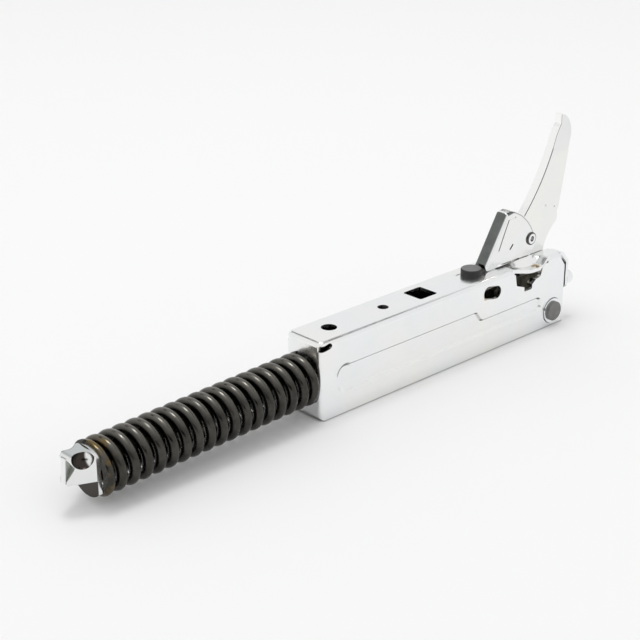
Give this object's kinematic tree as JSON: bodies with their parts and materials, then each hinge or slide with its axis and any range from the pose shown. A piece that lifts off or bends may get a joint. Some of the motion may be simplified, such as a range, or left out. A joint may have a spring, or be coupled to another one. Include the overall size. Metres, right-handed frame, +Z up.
{
  "type": "oven door hinge",
  "caption": "Sprung door hinge: sheet-steel channel with a coil spring on a pull rod, a hook arm on a pivot pin and a folding latch on the arm.",
  "frame": {"origin": "under the middle of the whole object, on the plane of the channel's bottom edges", "axes": "+X along the channel from the spring to the arm, +Y across it, +Z up"},
  "size_m": [0.3106, 0.0274, 0.1065],
  "materials": {
    "zinc_steel": "bright zinc plate",
    "plain_steel": "plain oiled steel",
    "dark_steel": "dark machined steel",
    "spring_steel": "oil-blackened spring wire with grease",
    "rubber": "matt black rubber",
    "brass": "plain bearing bronze"
  },
  "bodies": {
    "channel": {"housing": "zinc_steel", "end_nut": "zinc_steel", "rubber_bumper": "rubber", "pivot_pin": "dark_steel", "pivot_washer_near": "zinc_steel", "pivot_washer_far": "zinc_steel", "pivot_spacer_near": "zinc_steel", "pivot_spacer_far": "zinc_steel"},
    "arm": {"hook_arm": "zinc_steel", "arm_bush": "brass", "drive_pin": "dark_steel", "latch_rivet": "zinc_steel"},
    "latch": {"latch": "zinc_steel"},
    "rod": {"pull_rod": "zinc_steel", "fork_plate_near": "plain_steel", "fork_plate_far": "plain_steel", "fork_rivets": "plain_steel", "fork_spacers": "plain_steel", "spring_cap": "zinc_steel", "spring": "spring_steel"}
  },
  "joints": [
    {"name": "arm_swing", "type": "hinge", "parent": "channel", "child": "arm", "pos_m": [0.13553, 0, 0.0081], "axis": [0, 1, 0], "range_deg": [0, 78]},
    {"name": "latch_swing", "type": "hinge", "parent": "arm", "child": "latch", "pos_m": [0.12553, 0, 0.0473], "axis": [0, 1, 0], "range_deg": [0, 55]},
    {"name": "rod_slide", "type": "slide", "parent": "channel", "child": "rod", "axis": [1, 0, 0], "range_m": [0, 0.01887], "stiffness_N_per_m": 300, "springref_m": -0.008, "deforming": ["spring"]}
  ],
  "couplings": [
    {"joint": "rod_slide", "follows": "arm_swing", "m_per_rad": 0.01386}
  ]
}
